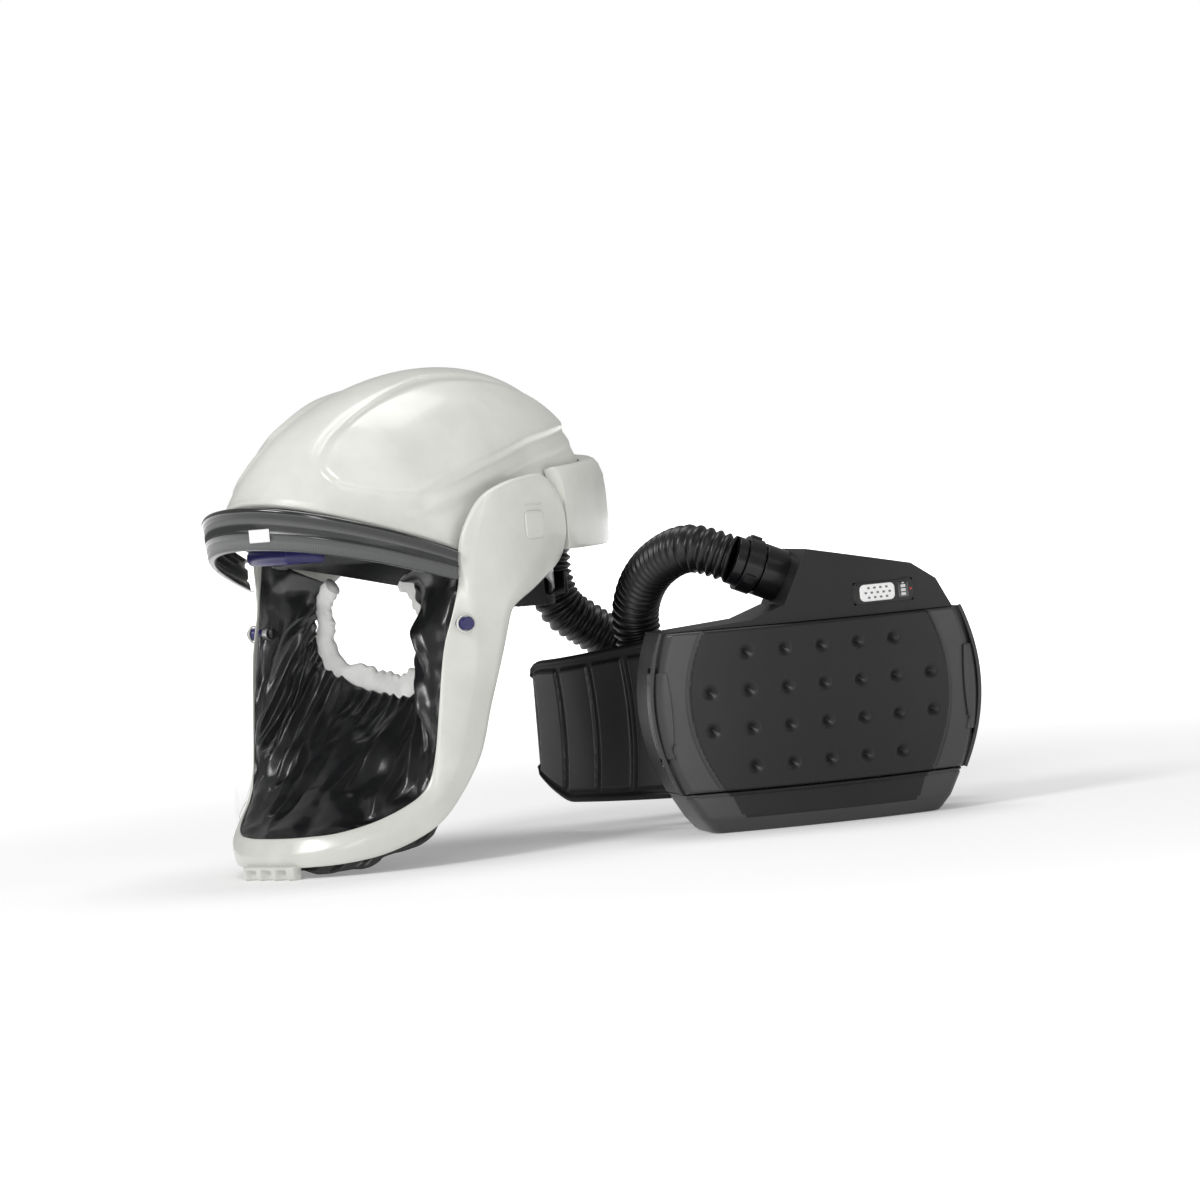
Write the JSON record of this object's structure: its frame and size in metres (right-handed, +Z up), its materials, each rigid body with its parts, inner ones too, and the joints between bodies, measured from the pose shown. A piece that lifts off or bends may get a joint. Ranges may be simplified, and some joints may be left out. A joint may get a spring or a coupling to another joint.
{
  "type": "powered air respirator",
  "caption": "Powered air respirator: helmet with a tilting clear visor and face seal, corrugated hose and a belt-worn blower with filter and battery.",
  "frame": {"origin": "centre of the helmet's and blower's footprint, on the surface they stand on", "axes": "+X along the row of the two units, from the helmet to the blower; +Z up; -Y is the side the blower's cover faces"},
  "size_m": [0.5109, 0.3047, 0.3271],
  "materials": {
    "white_shell": "moulded, warm grey-white, glossy",
    "dark_plastic": "moulded, satin",
    "black_plastic": "moulded, satin black",
    "battery_plastic": "moulded, satin dark grey",
    "purple_plastic": "moulded, blue-violet",
    "white_plastic": "moulded, satin white",
    "white_label": "blank printed label stock",
    "smoke_plastic": "smoked translucent, ribbed",
    "clear_polycarbonate": "clear, thin",
    "coated_fabric": "black coated fabric, glossy",
    "white_elastic": "white knitted elastic",
    "black_webbing": "woven strap",
    "black_foam": "closed foam",
    "filter_fleece": "white fleece",
    "black_rubber": "moulded rubber, satin",
    "hose_rubber": "corrugated elastomer, light and hollow",
    "steel": "bare",
    "brass": "bare",
    "board_green": "circuit board",
    "gauge_window": "black window with white segments",
    "red_lens": "small red lens",
    "cell_sleeve": "sleeved lithium cells"
  },
  "bodies": {
    "root": {"helmet_shell": "white_shell", "rear_cover": "white_shell", "pivot_mounts": "dark_plastic", "air_duct": "dark_plastic", "hose_inlet": "dark_plastic", "harness_clips": "dark_plastic", "headband": "purple_plastic", "sweatband": "black_foam", "crown_straps": "black_webbing", "nape_housing": "dark_plastic", "breathing_hose": "hose_rubber", "hose_connector": "black_plastic", "connector_seal": "black_rubber", "rear_housing": "black_plastic", "front_housing": "black_plastic", "housing_screws": "steel", "outlet_socket": "black_plastic", "fan_scroll": "dark_plastic", "fan_motor": "steel", "motor_bearings": "steel", "circuit_board": "board_green", "control_panel": "black_plastic", "battery_gauge": "gauge_window", "warning_light": "red_lens", "latch_pins": "steel", "belt_carrier": "dark_plastic", "pad_shell": "black_rubber", "pad_cushion": "black_foam", "pad_ribs": "black_rubber", "pad_rim": "black_rubber"},
    "visor_unit": {"visor_frame": "white_shell", "visor": "clear_polycarbonate", "brow_band": "smoke_plastic", "brow_label": "white_label", "pivot_badges": "white_shell", "face_seal": "coated_fabric", "face_seal_edge": "white_elastic", "button_springs": "steel"},
    "filter_unit": {"filter_cover": "black_plastic", "spark_arrestor": "steel", "prefilter": "filter_fleece", "particle_filter": "filter_fleece", "filter_seal": "black_foam"},
    "button_left": {"button_left": "purple_plastic"},
    "button_right": {"button_right": "purple_plastic"},
    "knob": {"ratchet_knob": "dark_plastic"},
    "tail_left": {"band_tail_left": "dark_plastic"},
    "tail_right": {"band_tail_right": "dark_plastic"},
    "collar": {"locking_collar": "black_plastic"},
    "power_button": {"power_button": "white_plastic"},
    "fan": {"impeller": "white_plastic", "motor_shaft": "steel"},
    "latch_left": {"cover_latch_left": "black_plastic"},
    "latch_right": {"cover_latch_right": "black_plastic"},
    "battery": {"battery_case": "battery_plastic", "battery_cells": "cell_sleeve", "battery_contacts": "brass"},
    "battery_latch": {"battery_latch": "black_plastic"}
  },
  "joints": [
    {"name": "visor_tilt", "type": "hinge", "parent": "root", "child": "visor_unit", "pos_m": [-0.1126, 0.0067, 0.217], "axis": [-0.7431, 0.6691, 0], "range_deg": [0, 65], "deforming": ["face_seal", "face_seal_edge"]},
    {"name": "button_left_press", "type": "slide", "parent": "visor_unit", "child": "button_left", "axis": [-0.7431, 0.6691, 0], "range_m": [0, 0.002], "stiffness_N_per_m": 500, "springref_m": -0.001, "deforming": ["button_springs"]},
    {"name": "button_right_press", "type": "slide", "parent": "visor_unit", "child": "button_right", "axis": [0.7431, -0.6691, 0], "range_m": [0, 0.002], "stiffness_N_per_m": 500, "springref_m": -0.001},
    {"name": "ratchet_turn", "type": "hinge", "parent": "root", "child": "knob", "pos_m": [-0.04836, 0.07804, 0.174], "axis": [0.6691, 0.7431, 0], "range_deg": [-160, 160]},
    {"name": "tail_left_slide", "type": "slide", "parent": "root", "child": "tail_left", "axis": [0.7431, -0.6691, 0], "range_m": [-0.009, 0.009]},
    {"name": "tail_right_slide", "type": "slide", "parent": "root", "child": "tail_right", "axis": [-0.7431, 0.6691, 0], "range_m": [-0.009, 0.009]},
    {"name": "collar_turn", "type": "hinge", "parent": "root", "child": "collar", "pos_m": [0.12004, -0.02456, 0.171], "axis": [-0.8901, -0.2055, 0.4067], "range_deg": [0, 45]},
    {"name": "power_press", "type": "slide", "parent": "root", "child": "power_button", "axis": [-0.3566, 0.9343, 0], "range_m": [0, 0.0012], "stiffness_N_per_m": 600, "springref_m": -0.001},
    {"name": "fan_spin", "type": "hinge", "parent": "root", "child": "fan", "pos_m": [0.1312, -0.01069, 0.082], "axis": [0.225, -0.9744, 0], "continuous": true},
    {"name": "cover_pull", "type": "slide", "parent": "root", "child": "filter_unit", "axis": [0.225, -0.9744, 0], "range_m": [0, 0.06]},
    {"name": "latch_left_turn", "type": "hinge", "parent": "root", "child": "latch_left", "pos_m": [0.04007, -0.04713, 0.082], "axis": [0, 0, -1], "range_deg": [0, 20]},
    {"name": "latch_right_turn", "type": "hinge", "parent": "root", "child": "latch_right", "pos_m": [0.24468, 0.00011, 0.082], "axis": [0, 0, 1], "range_deg": [0, 20]},
    {"name": "battery_drop", "type": "slide", "parent": "root", "child": "battery", "axis": [0, 0, -1], "range_m": [0, 0.045]},
    {"name": "battery_latch_press", "type": "slide", "parent": "battery", "child": "battery_latch", "axis": [-0.9744, -0.225, 0], "range_m": [0, 0.0018], "stiffness_N_per_m": 500, "springref_m": -0.001}
  ],
  "couplings": [
    {"joint": "tail_left_slide", "follows": "ratchet_turn", "m_per_rad": -0.003},
    {"joint": "tail_right_slide", "follows": "ratchet_turn", "m_per_rad": -0.003}
  ]
}
